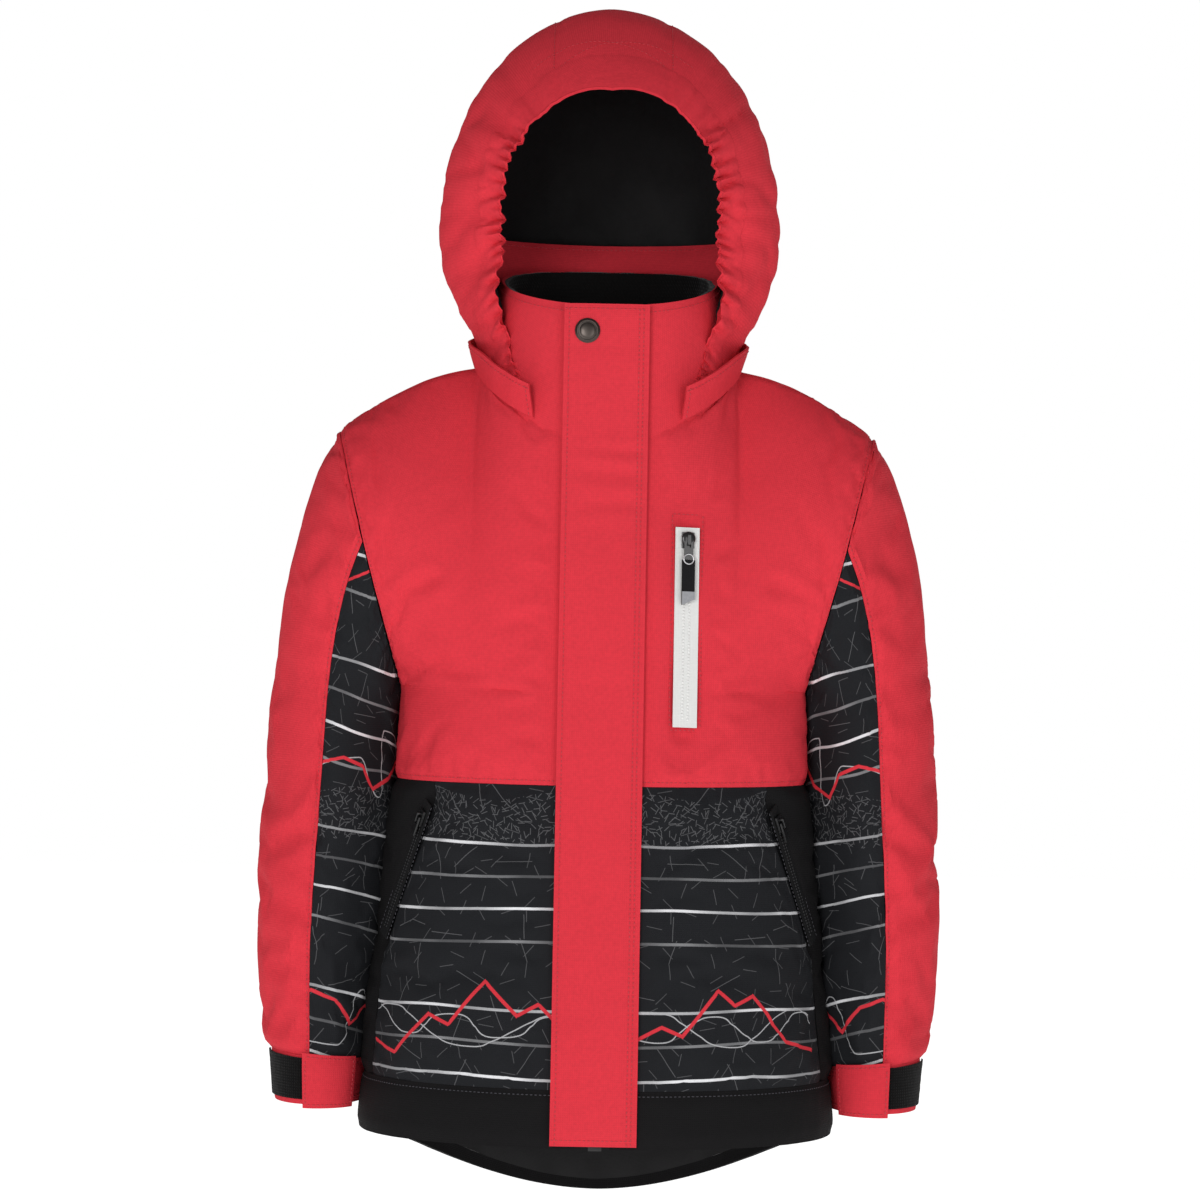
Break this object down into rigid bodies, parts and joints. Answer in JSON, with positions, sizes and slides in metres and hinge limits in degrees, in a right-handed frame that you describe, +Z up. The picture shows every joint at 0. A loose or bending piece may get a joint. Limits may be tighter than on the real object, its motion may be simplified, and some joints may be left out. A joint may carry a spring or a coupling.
{
  "type": "ski jacket",
  "caption": "Insulated hooded ski jacket with a front zip under a storm flap, chest and hand pocket zips, tabbed cuffs, a quilted lining and a dropped back hem, filled out as if worn.",
  "frame": {"origin": "middle of the neck opening, level with the base of the collar", "axes": "+Z up along the body, -Y out of the front, +X towards the wearer's left"},
  "size_m": [0.4704, 0.2739, 0.8409],
  "materials": {
    "red": "matt woven shell cloth",
    "print": "matt woven shell cloth with a printed pattern",
    "black": "matt woven shell cloth",
    "lining": "smooth quilted lining",
    "fleece": "brushed fleece",
    "hook": "hook-and-loop tape",
    "tape": "woven zip tape",
    "white": "woven zip tape",
    "trim": "gloss black enamel",
    "snap": "dark gunmetal",
    "webbing": "woven webbing"
  },
  "bodies": {
    "jacket": {"chest_panel_left": "red", "chest_panel_right": "red", "back_yoke": "red", "collar": "red", "hood_cover_band_left": "red", "hood_cover_band_right": "red", "lower_front_left": "print", "lower_front_right": "print", "lower_back": "print", "side_panel_left": "black", "side_panel_right": "black", "hem_band": "black", "front_lining_left": "lining", "front_lining_right": "lining", "back_lining": "lining", "chest_pocket_bag": "lining", "hand_pocket_bag_left": "lining", "hand_pocket_bag_right": "lining", "collar_lining": "fleece", "hanger_loop": "tape", "zip_tape_left": "tape", "zip_tape_right": "tape", "hand_zip_left_tape": "tape", "hand_zip_right_tape": "tape", "chest_zip_tape": "white", "main_zip_box": "trim", "snap_stud": "snap"},
    "storm_flap": {"storm_flap": "red", "snap_cap": "snap", "flap_hook_strip": "hook"},
    "main_slider": {"main_zip_slider": "trim", "main_zip_pull": "trim"},
    "chest_slider": {"chest_zip_slider": "trim"},
    "chest_pull": {"chest_zip_pull": "trim", "chest_zip_ribbon": "webbing"},
    "hand_slider_left": {"hand_zip_left_slider": "trim"},
    "hand_pull_left": {"hand_zip_left_pull": "trim"},
    "hand_slider_right": {"hand_zip_right_slider": "trim"},
    "hand_pull_right": {"hand_zip_right_pull": "trim"},
    "sleeve_left": {"sleeve_outer_left": "red", "sleeve_inner_left": "print", "sleeve_lining_left": "lining", "cuff_band_left": "red", "cuff_loop_patch_left": "hook"},
    "cuff_tab_left": {"cuff_tab_left": "red", "cuff_tab_hook_left": "hook"},
    "sleeve_right": {"sleeve_outer_right": "red", "sleeve_inner_right": "print", "sleeve_lining_right": "lining", "cuff_band_right": "red", "cuff_loop_patch_right": "hook"},
    "cuff_tab_right": {"cuff_tab_right": "red", "cuff_tab_hook_right": "hook"},
    "hood": {"hood_centre_panel": "red", "hood_side_left": "red", "hood_side_right": "red", "hood_lining": "lining", "hood_rim": "red", "hood_neck_facing": "red"}
  },
  "joints": [
    {"name": "storm_flap_hinge", "type": "hinge", "parent": "jacket", "child": "storm_flap", "pos_m": [0.0282, -0.09241, -0.23391], "axis": [0, 0.0991, 0.9951], "range_deg": [0, 110]},
    {"name": "main_zip_slide", "type": "slide", "parent": "jacket", "child": "main_slider", "axis": [0, -0.0991, -0.9951], "range_m": [0, 0.54]},
    {"name": "chest_zip_slide", "type": "slide", "parent": "jacket", "child": "chest_slider", "axis": [0, -0.1066, -0.9943], "range_m": [0, 0.116]},
    {"name": "chest_pull_hinge", "type": "hinge", "parent": "chest_slider", "child": "chest_pull", "pos_m": [0.05706, -0.0759, -0.10859], "axis": [-0.9682, -0.2489, 0.0267], "range_deg": [0, 90]},
    {"name": "hand_zip_slide_left", "type": "slide", "parent": "jacket", "child": "hand_slider_left", "axis": [0.2984, 0.2745, -0.9141], "range_m": [0, 0.07]},
    {"name": "hand_pull_hinge_left", "type": "hinge", "parent": "hand_slider_left", "child": "hand_pull_left", "pos_m": [0.12498, -0.05714, -0.30138], "axis": [-0.3271, -0.8703, -0.3682], "range_deg": [0, 110]},
    {"name": "hand_zip_slide_right", "type": "slide", "parent": "jacket", "child": "hand_slider_right", "axis": [-0.2984, 0.2745, -0.9141], "range_m": [0, 0.07]},
    {"name": "hand_pull_hinge_right", "type": "hinge", "parent": "hand_slider_right", "child": "hand_pull_right", "pos_m": [-0.12498, -0.05714, -0.30138], "axis": [-0.3271, 0.8703, 0.3682], "range_deg": [0, 110]},
    {"name": "sleeve_swing_left", "type": "hinge", "parent": "jacket", "child": "sleeve_left", "pos_m": [0.187, 0.006, -0.035], "axis": [0, -1, 0], "range_deg": [0, 60]},
    {"name": "sleeve_swing_right", "type": "hinge", "parent": "jacket", "child": "sleeve_right", "pos_m": [-0.187, 0.006, -0.035], "axis": [0, 1, 0], "range_deg": [0, 60]},
    {"name": "cuff_tab_hinge_left", "type": "hinge", "parent": "sleeve_left", "child": "cuff_tab_left", "pos_m": [0.16854, -0.01383, -0.48866], "axis": [0.0661, 0.0285, -0.9974], "range_deg": [0, 60]},
    {"name": "cuff_tab_hinge_right", "type": "hinge", "parent": "sleeve_right", "child": "cuff_tab_right", "pos_m": [-0.16854, -0.01383, -0.48866], "axis": [0.0661, -0.0285, 0.9974], "range_deg": [0, 60]},
    {"name": "hood_tilt", "type": "hinge", "parent": "jacket", "child": "hood", "pos_m": [0, 0.086, 0.028], "axis": [-1, 0, 0], "range_deg": [0, 45]}
  ]
}
